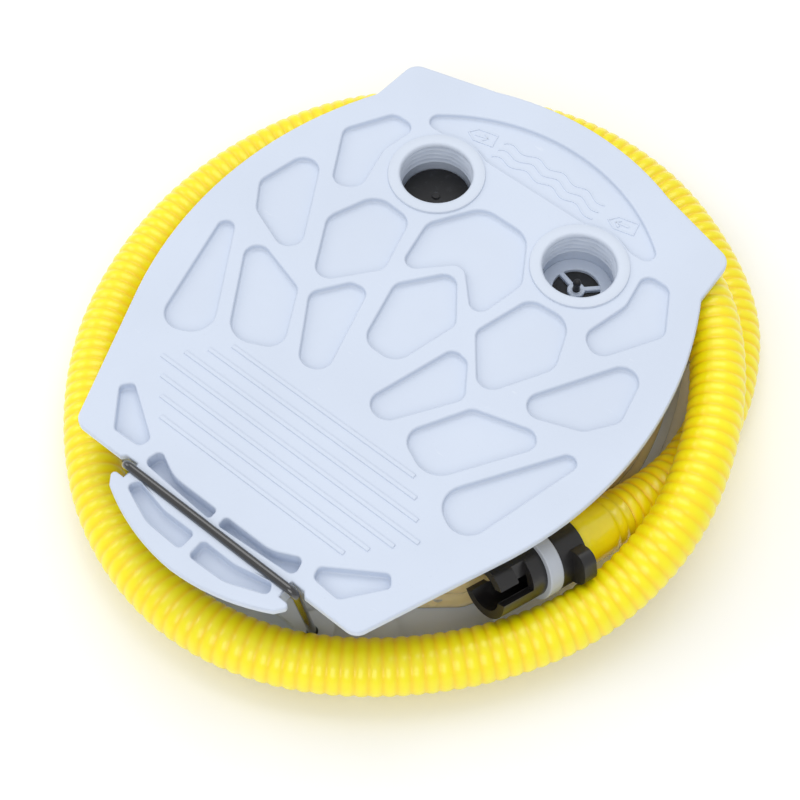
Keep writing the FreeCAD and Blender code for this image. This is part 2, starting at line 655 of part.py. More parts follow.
def main():
    os.makedirs("parts", exist_ok=True)
    start, finish = hose_ends()
    parts = {
        "pedal_plate": pedal_plate(),
        "base_plate": base_plate(),
        "hinge_wire": hinge_wire(),
        "bellows": bellows(),
        "pedal_clamp_frame": frame_with_holes(HEIGHT - RIM - FRAME_T, HEIGHT - RIM),
        "base_clamp_frame": frame_with_holes(RIM, RIM),
        "pedal_frame_screws": frame_screws(HEIGHT - RIM, 1),
        "base_frame_screws": frame_screws(RIM, -1),
        "return_spring": return_spring(),
        "outlet_socket": port_socket(-PORT_X),
        "inlet_socket": port_socket(PORT_X),
        "outlet_gasket": socket_gasket(-PORT_X),
        "inlet_gasket": socket_gasket(PORT_X),
        "outlet_ring_nut": socket_nut(-PORT_X),
        "inlet_ring_nut": socket_nut(PORT_X),
        "outlet_flap": outlet_flap(),
        "inlet_flap": inlet_flap(),
        "hose": hose(),
        "nozzle_cuff": cuff(start),
        "nozzle_body": placed(nozzle_body(), *start),
        "nozzle_washer": placed(nozzle_washer(), *start),
        "plug_cuff": cuff(finish),
        "plug_body": placed(plug_body(), *finish),
        "plug_washer": placed(plug_washer(), *finish),
    }
    for name, shape in parts.items():
        valid = shape.isValid() and all(s.isClosed() for s in shape.Shells)
        box = shape.BoundBox
        print(
            f"{name:20s} solids {len(shape.Solids):2d} valid {valid} volume {shape.Volume:9.0f}",
            f"x {box.XMin:.1f} {box.XMax:.1f} y {box.YMin:.1f} {box.YMax:.1f} z {box.ZMin:.1f} {box.ZMax:.1f}",
        )
        shape.exportStep(f"parts/{name}.step")


main()
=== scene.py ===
"""Looks of the bellows foot pump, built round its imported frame. Metres, +Z up, +Y to the ports."""

import math

import bmesh
import bpy
from mathutils import Matrix, Vector, noise


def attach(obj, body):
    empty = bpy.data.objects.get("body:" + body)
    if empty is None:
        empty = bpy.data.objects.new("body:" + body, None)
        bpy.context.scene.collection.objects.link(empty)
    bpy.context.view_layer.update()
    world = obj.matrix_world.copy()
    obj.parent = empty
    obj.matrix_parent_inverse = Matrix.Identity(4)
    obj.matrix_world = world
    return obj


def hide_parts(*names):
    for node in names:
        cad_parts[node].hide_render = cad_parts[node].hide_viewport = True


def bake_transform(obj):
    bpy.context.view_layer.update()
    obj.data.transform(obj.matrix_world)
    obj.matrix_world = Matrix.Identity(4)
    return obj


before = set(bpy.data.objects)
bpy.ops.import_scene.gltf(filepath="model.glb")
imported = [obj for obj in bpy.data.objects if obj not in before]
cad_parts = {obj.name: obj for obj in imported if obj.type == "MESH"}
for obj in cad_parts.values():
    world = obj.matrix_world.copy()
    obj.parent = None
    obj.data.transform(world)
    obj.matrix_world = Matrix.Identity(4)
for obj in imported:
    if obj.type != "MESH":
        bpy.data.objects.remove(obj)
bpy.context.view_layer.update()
MM = 0.001

# ---- sizes, in millimetres ----------------------------------------------------------
HEIGHT = 64.0          # floor to tread
RIM = 3.5              # plate thickness at the rim
SLAB = 6.5             # plate thickness inside the rim
PORT_X, PORT_Y = 42.5, 82.0
FLANGE_R, TUBE_R, BORE_R = 23.5, 20.5, 17.0
FLANGE_T = 1.2
SOCKET_DEPTH = 24.0
THREAD_PITCH = 3.0
THREAD_DEEP = 1.9
THREAD_FROM, THREAD_TO = 13.6, 1.8    # how far under the mouth it starts and ends
CHAMBER_R = 17.6
SEAT_DEPTH = 20.0
SEAT_T = 2.0
WINDOW_R, HUB_R, SPOKE_W, SPOKES, SPOKE_TURN = 11.5, 4.2, 2.4, 3, 44
HOSE_R, HOSE_BORE_R = 13.0, 11.0
RIB_PITCH = 5.9
RIB_DEEP = 1.0
CUFF_R, CUFF_L = 13.6, 32.0
CUFF_BANDS, BAND_WIDTH = (4, 9.5), 1.2    # their distances from the cuff's inner end
SPRING_R, SPRING_LOW_R, SPRING_TOP_R, SPRING_Y, SPRING_TURNS = 2.0, 50.0, 38.0, -8.0, 5
HOSE_ROUTE = [
    (123.5, 6.5, 23), (131.5, 36, 15.5), (130.5, 70, 14), (122, 103, 13.1), (103, 136, 13.1),
    (70, 160, 13.1), (28, 177, 13.1), (-22, 178, 13.1), (-72, 158, 13.1), (-112, 128, 13.1),
    (-138, 88, 13.1), (-151, 36, 13.1), (-149, -16, 13.1), (-131, -68, 14), (-98, -110, 16.5),
    (-56, -141, 18.5), (-4, -154, 20), (44, -144.5, 20), (86, -117, 18), (122, -77, 18),
    (144, -34, 21), (151, 10, 38), (139, 54, 43), (118, 92, 44), (90, 121, 42.5),
    (54, 136, 39), (20, 137.5, 37),
]


# ---- node graphs --------------------------------------------------------------------
class Value:
    """A node's output. Plain arithmetic on it adds Math nodes."""

    def __init__(self, graph, socket):
        self.graph, self.socket = graph, socket

    def __add__(self, other):
        return self.graph.maths("ADD", self, other)

    def __radd__(self, other):
        return self.graph.maths("ADD", other, self)

    def __sub__(self, other):
        return self.graph.maths("SUBTRACT", self, other)

    def __rsub__(self, other):
        return self.graph.maths("SUBTRACT", other, self)

    def __mul__(self, other):
        return self.graph.maths("MULTIPLY", self, other)

    def __truediv__(self, other):
        return self.graph.maths("DIVIDE", self, other)

    def __pow__(self, other):
        return self.graph.maths("POWER", self, other)


class Graph:
    """Adds nodes to a tree: a type, its settings, and the values or links of its sockets."""

    def __init__(self, tree):
        self.tree = tree

    def add(self, kind, settings=None, inputs=None, output=0):
        node = self.tree.nodes.new(kind)
        for key, value in (settings or {}).items():
            setattr(node, key, value)
        for key, value in (inputs or {}).items():
            if isinstance(value, Value):
                self.tree.links.new(value.socket, node.inputs[key])
            else:
                node.inputs[key].default_value = value
        return Value(self, node.outputs[output]) if node.outputs else node

    def maths(self, operation, *values):
        return self.add("ShaderNodeMath", {"operation": operation}, dict(enumerate(values)))

    def mix(self, mask, first, second):
        return self.add("ShaderNodeMix", {"data_type": "RGBA"}, {0: mask, 6: first, 7: second}, 2)

    def band(self, value, low, high):
        """0 below low, 1 above high, smooth between."""
        ends = {"Value": value, "From Min": low, "From Max": high}
        return self.add("ShaderNodeMapRange", {"interpolation_type": "SMOOTHSTEP"}, ends)


class Finish(Graph):
    """A material with one Principled shader. Patterns read the piece's own coordinates."""

    def __init__(self, name, constants):
        self.material = bpy.data.materials.new(name)
        self.material.use_nodes = True
        super().__init__(self.material.node_tree)
        self.tree.nodes.clear()
        shader = self.add("ShaderNodeBsdfPrincipled", {}, constants)
        self.shader = shader.socket.node
        self.add("ShaderNodeOutputMaterial", {}, {"Surface": shader})
        self.place = self.add("ShaderNodeTexCoord", {}, {}, "Object")

    def noise(self, scale, detail=2.0, roughness=0.5, place=None):
        inputs = {"Vector": place or self.place, "Scale": scale, "Detail": detail, "Roughness": roughness}
        return self.add("ShaderNodeTexNoise", {}, inputs)

    def stretched(self, x, y, z):
        return self.add("ShaderNodeMapping", {}, {"Vector": self.place, "Scale": (x, y, z)})

    def feed(self, **links):
        for name, value in links.items():
            self.tree.links.new(value.socket, self.shader.inputs[name.replace("_", " ")])

    def bump(self, height, strength, distance):
        inputs = {"Height": height, "Strength": strength, "Distance": distance}
        self.feed(Normal=self.add("ShaderNodeBump", {}, inputs))


def shade(red, green, blue, factor=1.0):
    return (red * factor, green * factor, blue * factor, 1.0)


# ---- finishes -----------------------------------------------------------------------
def moulded_plastic(name, colour):
    """Pale satin plastic with flow clouds, faint scuffs and a fine moulded grain."""
    f = Finish(name, {"Specular IOR Level": 0.45, "IOR": 1.48, "Coat Weight": 0.08, "Coat Roughness": 0.3})
    clouds = f.band(f.noise(14, 3), 0.3, 0.7)
    base = f.mix(clouds, shade(*colour, 0.965), shade(*colour))
    scuffs = f.band(f.noise(60, 6, 0.7, f.stretched(1, 3.2, 1)), 0.66, 0.74)
    base = f.mix(scuffs * 0.25, base, shade(0.80, 0.84, 0.90))
    dust = f.band(f.noise(900, 1), 0.7, 0.78)
    f.feed(Base_Color=f.mix(dust * 0.18, base, shade(*colour, 0.8)))
    f.feed(Roughness=0.38 + f.noise(22, 4) * 0.12 + scuffs * 0.12)
    f.bump(f.noise(1400, 2) * 0.6 + f.noise(120, 2) * 0.4, 0.10, 0.00025)
    return f.material


def ribbed_vinyl(name, colour, painted_groove_shade):
    """Glossy coloured vinyl with painted shade in its grooves: a deeper orange laid on from the piece's
    groove attribute.
    """
    f = Finish(name, {"Specular IOR Level": 0.5, "IOR": 1.5, "Coat Weight": 0.35, "Coat Roughness": 0.12,
                      "Subsurface Weight": 0.10, "Subsurface Scale": 0.003,
                      "Subsurface Radius": (1.0, 0.85, 0.1)})
    groove = f.add("ShaderNodeAttribute", {"attribute_name": "groove"}, {}, "Fac")
    cloudy = f.mix(f.band(f.noise(30, 3), 0.35, 0.7), shade(*colour), shade(*colour, 0.96))
    # painted shade: the grooves get a deeper orange than the crests
    f.feed(Base_Color=f.mix(groove, cloudy, shade(*painted_groove_shade)))
    f.feed(Roughness=0.26 + f.noise(45, 3) * 0.12 + groove * 0.15)
    f.bump(f.noise(260, 3), 0.06, 0.0006)
    return f.material


def clear_vinyl(name, colour, deep):
    """Smooth see-through looking vinyl: waxy light inside and a clear gloss outside."""
    f = Finish(name, {"Specular IOR Level": 0.5, "IOR": 1.5, "Coat Weight": 0.7, "Coat Roughness": 0.08,
                      "Subsurface Weight": 0.35, "Subsurface Scale": 0.006,
                      "Subsurface Radius": (1.0, 0.7, 0.25)})
    clouds = f.band(f.noise(24, 4), 0.3, 0.72)
    streaks = f.band(f.noise(70, 3, 0.6, f.stretched(1, 1, 0.25)), 0.5, 0.72)
    base = f.mix(clouds, shade(*colour), shade(*deep))
    f.feed(Base_Color=f.mix(streaks * 0.4, base, shade(*colour, 1.15)))
    f.feed(Roughness=0.14 + f.noise(50, 3) * 0.22)
    f.bump(f.noise(110, 4) + f.noise(28, 3), 0.35, 0.0014)
    return f.material


def black_plastic(name, gloss):
    """Black moulded plastic with fine grain and pale rubbed patches."""
    f = Finish(name, {"Specular IOR Level": 0.5, "IOR": 1.5, "Coat Weight": 0.15, "Coat Roughness": 0.2})
    rubbed = f.band(f.noise(75, 5, 0.65), 0.6, 0.78)
    f.feed(Base_Color=f.mix(rubbed * 0.5, shade(0.012, 0.011, 0.011), shade(0.05, 0.048, 0.047)))
    f.feed(Roughness=gloss + f.noise(35, 3) * 0.18 + rubbed * 0.1)
    f.bump(f.noise(900, 2) * 0.7 + f.noise(90, 3) * 0.3, 0.14, 0.0003)
    return f.material


def soft_rubber(name):
    f = Finish(name, {"Specular IOR Level": 0.4, "IOR": 1.5, "Sheen Weight": 0.15, "Sheen Roughness": 0.5})
    bloom = f.band(f.noise(190, 5, 0.7), 0.52, 0.75)
    f.feed(Base_Color=f.mix(bloom * 0.6, shade(0.010, 0.010, 0.011), shade(0.045, 0.047, 0.052)))
    f.feed(Roughness=0.48 + f.noise(60, 3) * 0.2)
    f.bump(f.noise(700, 3), 0.2, 0.0002)
    return f.material


def coated_wire(name):
    """Hard black enamel on bright wire, thin where it has been rubbed."""
    f = Finish(name, {"Specular IOR Level": 0.6, "Coat Weight": 1.0, "Coat Roughness": 0.06})
    worn = f.band(f.noise(240, 6, 0.7, f.stretched(0.25, 1, 1)), 0.68, 0.75)
    f.feed(Base_Color=f.mix(worn * 0.5, shade(0.012, 0.012, 0.012), shade(0.2, 0.19, 0.17)))
    f.feed(Roughness=0.18 + f.noise(90, 3) * 0.14 + worn * 0.15)
    f.feed(Metallic=worn * 0.5)
    f.bump(f.noise(420, 3), 0.12, 0.0002)
    return f.material


def plated_steel(name, tone):
    f = Finish(name, {"Specular IOR Level": 0.5})
    stain = f.band(f.noise(130, 5, 0.65), 0.5, 0.75)
    f.feed(Base_Color=f.mix(stain * 0.6, shade(tone, tone, tone), shade(0.22, 0.2, 0.17)))
    f.feed(Roughness=0.28 + f.noise(80, 3) * 0.2 + stain * 0.15)
    f.feed(Metallic=1 - stain * 0.2)
    f.bump(f.noise(600, 3), 0.12, 0.0002)
    return f.material


PLATE = moulded_plastic("pale blue plastic", (0.60, 0.665, 0.78))
SOCKET = moulded_plastic("socket plastic", (0.61, 0.67, 0.77))
# the hose's second colour is painted shade for its grooves
HOSE = ribbed_vinyl("yellow hose vinyl", (1.0, 0.87, 0.001), (1.0, 0.66, 0.0))
CUFF = clear_vinyl("amber cuff vinyl", (0.98, 0.80, 0.01), (0.82, 0.62, 0.002))
BELLOWS = clear_vinyl("tan bellows sheet", (0.96, 0.78, 0.46), (0.74, 0.54, 0.25))
BLACK = black_plastic("black connector plastic", 0.26)
WASHER = moulded_plastic("grey ring plastic", (0.46, 0.49, 0.54))
RUBBER = soft_rubber("valve rubber")
ENAMEL = coated_wire("black wire enamel")
ZINC = plated_steel("zinc screw steel", 0.62)
SPRING_STEEL = plated_steel("spring steel", 0.36)


# ---- mesh helpers -------------------------------------------------------------------
def piece_from(name, points, faces, material, sharp=35):
    """A mesh piece from points in millimetres, smooth but for its sharp edges."""
    mesh = bpy.data.meshes.new(name)
    mesh.from_pydata([Vector(p) * MM for p in points], [], faces)
    piece = bpy.data.objects.new(name, mesh)
    bpy.context.scene.collection.objects.link(piece)
    face_outward(mesh)
    return finished(piece, material, sharp)


def face_outward(mesh):
    work = bmesh.new()
    work.from_mesh(mesh)
    bmesh.ops.recalc_face_normals(work, faces=work.faces)
    work.to_mesh(mesh)
    work.free()


def finished(piece, material, sharp=35):
    piece.data.materials.clear()
    piece.data.materials.append(material)
    piece.data.shade_smooth()
    piece.data.set_sharp_from_angle(angle=math.radians(sharp))
    return piece


def settle(piece):
    """Turns the piece's modifiers into plain mesh."""
    bpy.context.view_layer.update()
    seen = piece.evaluated_get(bpy.context.evaluated_depsgraph_get())
    plain = bpy.data.meshes.new_from_object(seen)
    piece.modifiers.clear()
    piece.data = plain
    return piece


FLAT_ANGLE = math.radians(0.6)   # faces that meet flatter than this are one face
MERGE_WITHIN = 2e-6              # metres


def from_frame(node, name, material, round_over=0.0):
    """A merged copy of a frame node with its hard edges rounded over, in millimetres."""
    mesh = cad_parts[node].data.copy()
    work = bmesh.new()
    work.from_mesh(mesh)
    bmesh.ops.remove_doubles(work, verts=work.verts, dist=MERGE_WITHIN)
    bmesh.ops.dissolve_limit(work, angle_limit=FLAT_ANGLE, verts=work.verts, edges=work.edges,
                             use_dissolve_boundaries=False)
    work.to_mesh(mesh)
    work.free()
    piece = bpy.data.objects.new(name, mesh)
    bpy.context.scene.collection.objects.link(piece)
    finished(piece, material, 30)
    if round_over:
        bevel = piece.modifiers.new("round over", "BEVEL")
        bevel.width, bevel.segments, bevel.limit_method = round_over * MM, 2, "ANGLE"
        bevel.angle_limit, bevel.use_clamp_overlap = math.radians(40), True
    weighted = piece.modifiers.new("flat faces first", "WEIGHTED_NORMAL")
    weighted.keep_sharp = True
    return settle(piece)


def rings_mesh(rings, closed_ends=False, loop=False):
    """Points and faces of equal rings joined in turn. loop joins the last ring to the first."""
    count = len(rings[0])
    points = [p for ring in rings for p in ring]
    faces = []
    turns = len(rings) if loop else len(rings) - 1
    for i in range(turns):
        a, b = i * count, (i + 1) % len(rings) * count
        for j in range(count):
            k = (j + 1) % count
            faces.append((a + j, a + k, b + k, b + j))
    if closed_ends:
        faces.append(tuple(range(count)))
        faces.append(tuple(range((len(rings) - 1) * count, len(rings) * count)))
    return points, faces


def turned(name, profile, material, at=(0, 0, 0), sides=96, groove=None):
    """A ring turned from a closed profile of (radius, height), grooved by groove(angle, height)."""
    rings = []
    for radius, height, *deep in profile:
        ring = []
        for i in range(sides):
            angle = 2 * math.pi * i / sides
            r = radius + (deep[0] * groove(angle, height) if deep else 0)
            ring.append((at[0] + r * math.cos(angle), at[1] + r * math.sin(angle), at[2] + height))
        rings.append(ring)
    points, faces = rings_mesh(rings, loop=True)
    return piece_from(name, points, faces, material)


def joined(name, pieces):
    """One piece from several."""
    work = bmesh.new()
    for piece in pieces:
        work.from_mesh(piece.data)
    mesh = bpy.data.meshes.new(name)
    material = pieces[0].data.materials[0]
    work.to_mesh(mesh)
    work.free()
    for piece in pieces:
        bpy.data.objects.remove(piece)
    whole = bpy.data.objects.new(name, mesh)
    bpy.context.scene.collection.objects.link(whole)
    return finished(whole, material)


def tube_along(name, points, radius, material, sides=16):
    """A round wire through points, with its ends closed."""
    rings = []
    normal = None
    for i, point in enumerate(points):
        along = (points[min(i + 1, len(points) - 1)] - points[max(i - 1, 0)]).normalized()
        if normal is None:
            normal = along.orthogonal().normalized()
        normal = (normal - along * normal.dot(along)).normalized()
        side = along.cross(normal)
        ring = []
        for j in range(sides):
            angle = 2 * math.pi * j / sides
            ring.append(point + (normal * math.cos(angle) + side * math.sin(angle)) * radius)
        rings.append(ring)
    return piece_from(name, *rings_mesh(rings, closed_ends=True), material)


# ---- the plates ---------------------------------------------------------------------
def plates():
    pedal = from_frame("pedal_plate", "pedal_top", PLATE)
    base = from_frame("base_plate", "base_bottom", PLATE)
    for piece, body, node in ((pedal, "pedal", "pedal_plate"), (base, "base", "base_plate")):
        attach(piece, body)
        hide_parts(node)


SIGN_FLOOR = HEIGHT - 2.5
SIGN_RAISE = 0.45


def raised_strip(name, line, width, closed):
    """A low strip along points (x, y) on the sign pocket's floor, with sloping sides."""
    points = [Vector((x, y, SIGN_FLOOR - 0.05)) for x, y in line]
    rings = []
    for i, point in enumerate(points):
        before = points[i - 1] if closed or i else point
        after = points[(i + 1) % len(points)] if closed or i < len(points) - 1 else point
        a, b = (point - before).normalized(), (after - point).normalized()
        along = (a + b).normalized()
        side = Vector((-along.y, along.x, 0)) * width / 2 / max(0.4, along.dot(a))
        up = Vector((0, 0, SIGN_RAISE))
        rings.append([point - side, point - side * 0.6 + up, point + side * 0.6 + up, point + side])
    return piece_from(name, *rings_mesh(rings, closed_ends=not closed, loop=closed), PLATE)


def flow_signs():
    """Generic raised marks: a pointer to each port with a plain arrow in it, and plain waves."""
    strips = []
    for sign in (-1, 1):
        centre = Vector((sign * 42.0 + 1.0, 115.5))
        out = Vector((-0.97, -0.24))
        side = Vector((-out.y, out.x))
        shape = [(-7, -3.6), (-7, 3.6), (3, 3.6), (7, 0), (3, -3.6)]
        outline = [centre + out * a + side * b for a, b in shape]
        arrow = [centre + out * sign * a for a in (-3.4, 3.2)]
        head = [centre + out * sign * a + side * b for a, b in [(1.0, 1.9), (3.4, 0), (1.0, -1.9)]]
        strips.append(raised_strip("a", outline, 0.9, True))
        strips.append(raised_strip("b", arrow, 0.8, False))
        strips.append(raised_strip("c", head, 0.8, False))
    for row in range(3):
        wave = []
        for i in range(49):
            x = -30 + 60 * i / 48
            wave.append((x, 111.5 + 5 * row - x * x / 400 + 1.2 * math.sin(x * 0.42)))
        strips.append(raised_strip("d", wave, 0.9, False))
    signs = joined("flow_signs", strips)
    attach(signs, "pedal")


def hinge_wire():
    wire = from_frame("hinge_wire", "hinge_shackle", ENAMEL)
    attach(wire, "base")
    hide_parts("hinge_wire")


# ---- bellows ------------------------------------------------------------------------
def arc(first, middle, last, count):
    """Points on the circle through three points, without the last."""
    (ax, ay), (bx, by), (cx, cy) = first, middle, last
    d = 2 * (ax * (by - cy) + bx * (cy - ay) + cx * (ay - by))
    a, b, c = ax * ax + ay * ay, bx * bx + by * by, cx * cx + cy * cy
    x = (a * (by - cy) + b * (cy - ay) + c * (ay - by)) / d
    y = (a * (cx - bx) + b * (ax - cx) + c * (bx - ax)) / d
    radius = math.hypot(ax - x, ay - y)
    start, end = math.atan2(ay - y, ax - x), math.atan2(cy - y, cx - x)
    sweep = (end - start + math.pi) % (2 * math.pi) - math.pi
    turns = [start + sweep * i / count for i in range(count)]
    return [(x + radius * math.cos(t), y + radius * math.sin(t)) for t in turns]


def bellows_lip():
    """Points round the bellows' lip, evenly spaced, each with its inward direction."""
    far, toe, shoulder, side = (0, 142), (56.7, 133), (91.5, 104), (115.5, 16)
    waist, heel, middle = (92, -66), (52, -100), (0, -100)
    half = arc(far, toe, shoulder, 30) + arc(shoulder, side, waist, 50)
    for a, b in ((waist, heel), (heel, middle)):
        half += [(a[0] + (b[0] - a[0]) * i / 16, a[1] + (b[1] - a[1]) * i / 16) for i in range(16)]
    line = [Vector(p) for p in half + [middle]]
    line += [Vector((-p.x, p.y)) for p in reversed(line[1:-1])]
    lengths = [(line[(i + 1) % len(line)] - p).length for i, p in enumerate(line)]
    total, count = sum(lengths), 300
    even, i, gone = [], 0, 0.0
    for k in range(count):
        want = total * k / count
        while gone + lengths[i] < want:
            gone += lengths[i]
            i += 1
        even.append(line[i].lerp(line[(i + 1) % len(line)], (want - gone) / lengths[i]))
    inwards = []
    for k in range(count):
        along = (even[(k + 6) % count] - even[k - 6]).normalized()
        inwards.append(Vector((along.y, -along.x)) * -1)
    centre = Vector((0, 20))
    inwards = [w if w.dot(centre - p) > 0 else -w for w, p in zip(inwards, even)]
    return even, inwards


def smooth(value, low, high):
    t = min(1.0, max(0.0, (value - low) / (high - low)))
    return t * t * (3 - 2 * t)


WALL_IN = 4.0          # how far the wall stands in from its lips
BULGE_OUT = 2.6        # how much of that its two bulges take back
CREASE_DEEP = 11.0     # the fold between the bulges
CHANNEL_DEEP = 25.0    # how far it draws in behind the ports
CHANNEL_SWELL = 3.5    # how far its middle stands out of that
SHEET_T = 0.8


def bellows():
    """Two soft bulges with a crease between them, drawn in behind the ports to clear the hose."""
    even, inwards = bellows_lip()
    low, high = RIM + 0.05, HEIGHT - RIM - 0.05
    rows = 44
    rings = []
    for row in range(rows + 1):
        v = row / rows
        z = low + (high - low) * v
        lip = smooth(min(v, 1 - v), 0.03, 0.10)
        crease = math.exp(-(((v - 0.5) / 0.10) ** 2))
        bulge = math.cos((abs(v - 0.5) - 0.27) * math.pi / 0.46) ** 2 if 0.04 < abs(v - 0.5) else 0.0
        ring = []
        for point, inward in zip(even, inwards):
            drawn = smooth(point.y, 62, 100)
            near = lip * (WALL_IN - BULGE_OUT * bulge) + CREASE_DEEP * crease
            channel = smooth(min(v, 1 - v), 0.075, 0.16)
            far = channel * CHANNEL_DEEP - CHANNEL_SWELL * math.exp(-(((v - 0.5) / 0.16) ** 2))
            where = Vector((point.x * 0.05, point.y * 0.05, z * 0.07))
            wrinkle = noise.noise(where * 1.7) * 1.1 + noise.noise(where * 4.1) * 0.5
            inset = 0.7 + near * (1 - drawn) + far * drawn + lip * (0.9 + wrinkle * (1 - 0.5 * drawn))
            ring.append((point.x + inward.x * inset, point.y + inward.y * inset, z))
        rings.append(ring)
    sheet = piece_from("bellows_sheet", *rings_mesh(rings), BELLOWS, 75)
    wall = sheet.modifiers.new("sheet thickness", "SOLIDIFY")
    wall.thickness, wall.offset = SHEET_T * MM, -1
    settle(sheet)
    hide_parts("bellows")
    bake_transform(sheet)


def return_spring():
    """Conical coil with its end turns laid flat against the seats."""
    low, high = SLAB + SPRING_R + 0.1, HEIGHT - SLAB - SPRING_R - 0.1
    steps = 60 * SPRING_TURNS
    line = []
    for i in range(steps + 1):
        t = i / steps
        rise = smooth(t, 0.1, 0.9) * 0.55 + min(1, max(0, (t - 0.12) / 0.76)) * 0.45
        radius = SPRING_LOW_R + (SPRING_TOP_R - SPRING_LOW_R) * rise
        angle = 2 * math.pi * SPRING_TURNS * t
        x, y = radius * math.cos(angle), SPRING_Y + radius * math.sin(angle)
        line.append(Vector((x, y, low + (high - low) * rise)))
    coil = tube_along("spring_coil", line, SPRING_R, SPRING_STEEL)
    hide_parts("return_spring")
    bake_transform(coil)


# ---- ports --------------------------------------------------------------------------
def thread_groove(angle, height):
    """0 on a thread's crest, 1 at its root."""
    wave = 0.5 + 0.5 * math.cos(2 * math.pi * height / THREAD_PITCH - angle)
    return wave ** 0.7


def socket_shell(name, x):
    """Flanged tube with a round thread inside its mouth."""
    top = FLANGE_T
    inside = [(CHAMBER_R, -SOCKET_DEPTH + top), (CHAMBER_R, top - 14.6)]
    steps = 40
    for i in range(steps + 1):
        height = top - THREAD_FROM + (THREAD_FROM - THREAD_TO) * i / steps
        ends = smooth(i, 0, 4) * smooth(steps - i, 0, 4)
        inside.append((BORE_R + 0.25, height, THREAD_DEEP * ends))
    mouth = [(BORE_R + 0.45, top - 1.2), (BORE_R + 0.8, top - 0.45)]
    mouth += [(BORE_R + 1.4, top - 0.08), (BORE_R + 2.0, top)]
    rim = [(FLANGE_R - 0.7, top), (FLANGE_R - 0.2, top - 0.2), (FLANGE_R, top - 0.6), (FLANGE_R, 0.0)]
    outside = [(TUBE_R, 0.0), (TUBE_R, -SOCKET_DEPTH + top)]
    profile = inside + mouth + rim + outside
    return turned(name, profile, SOCKET, (x, PORT_Y, HEIGHT), 128, thread_groove)


def valve_grid(name, x):
    """Seat ring, hub and spokes of a port's valve."""
    top = HEIGHT + FLANGE_T - SEAT_DEPTH
    soft = 0.35
    knob_hole_r = 1.75

    def section(near, far):
        """A bar's or ring's section with its two upper corners eased."""
        upper = [(far, -soft), (far - soft, 0), (near + soft, 0), (near, -soft)]
        return [(near, -SEAT_T), (far, -SEAT_T)] + upper

    parts = [turned(name, section(WINDOW_R, CHAMBER_R + 0.1), SOCKET, (x, PORT_Y, top), 96)]
    parts.append(turned(name, section(knob_hole_r, HUB_R), SOCKET, (x, PORT_Y, top), 48))
    bar = section(-SPOKE_W / 2, SPOKE_W / 2)
    for i in range(SPOKES):
        angle = math.radians(SPOKE_TURN + 360 / SPOKES * i)
        out = Vector((math.cos(angle), math.sin(angle), 0))
        side = Vector((-math.sin(angle), math.cos(angle), 0))
        rings = []
        for reach in (HUB_R - 0.4, WINDOW_R + 0.4):
            centre = Vector((x, PORT_Y, top)) + out * reach
            rings.append([centre + side * a + Vector((0, 0, b)) for a, b in bar])
        parts.append(piece_from(name, *rings_mesh(rings, closed_ends=True), SOCKET))
    return joined(name, parts)


def ports():
    for sign, side in ((-1, "outlet"), (1, "inlet")):
        shell = socket_shell(f"{side}_port", sign * PORT_X)
        grid = valve_grid(f"{side}_valve_grid", sign * PORT_X)
        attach(shell, "pedal")
        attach(grid, "pedal")
        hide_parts(f"{side}_socket")
        flap = from_frame(f"{side}_flap", f"{side}_valve_disc", RUBBER, 0.3)
        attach(flap, f"{side}_valve")
        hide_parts(f"{side}_flap")


# ---- hose ---------------------------------------------------------------------------
def route_line():
    """Points along the hose's centreline, in metres, read from its smooth curve."""
    curve = bpy.data.curves.new("hose_route", "CURVE")
    curve.dimensions = "3D"
    spline = curve.splines.new("NURBS")
    spline.points.add(len(HOSE_ROUTE) - 1)
    for point, place in zip(spline.points, HOSE_ROUTE):
        point.co = (*(Vector(place) * MM), 1.0)
    spline.order_u = 3
    spline.use_endpoint_u = True
    curve.resolution_u = 24
    carrier = bpy.data.objects.new("hose_route", curve)
    bpy.context.scene.collection.objects.link(carrier)
    bpy.context.view_layer.update()
    seen = carrier.evaluated_get(bpy.context.evaluated_depsgraph_get())
    mesh = bpy.data.meshes.new_from_object(seen)
    line = [v.co.copy() for v in mesh.vertices]
    bpy.data.objects.remove(carrier)
    return line


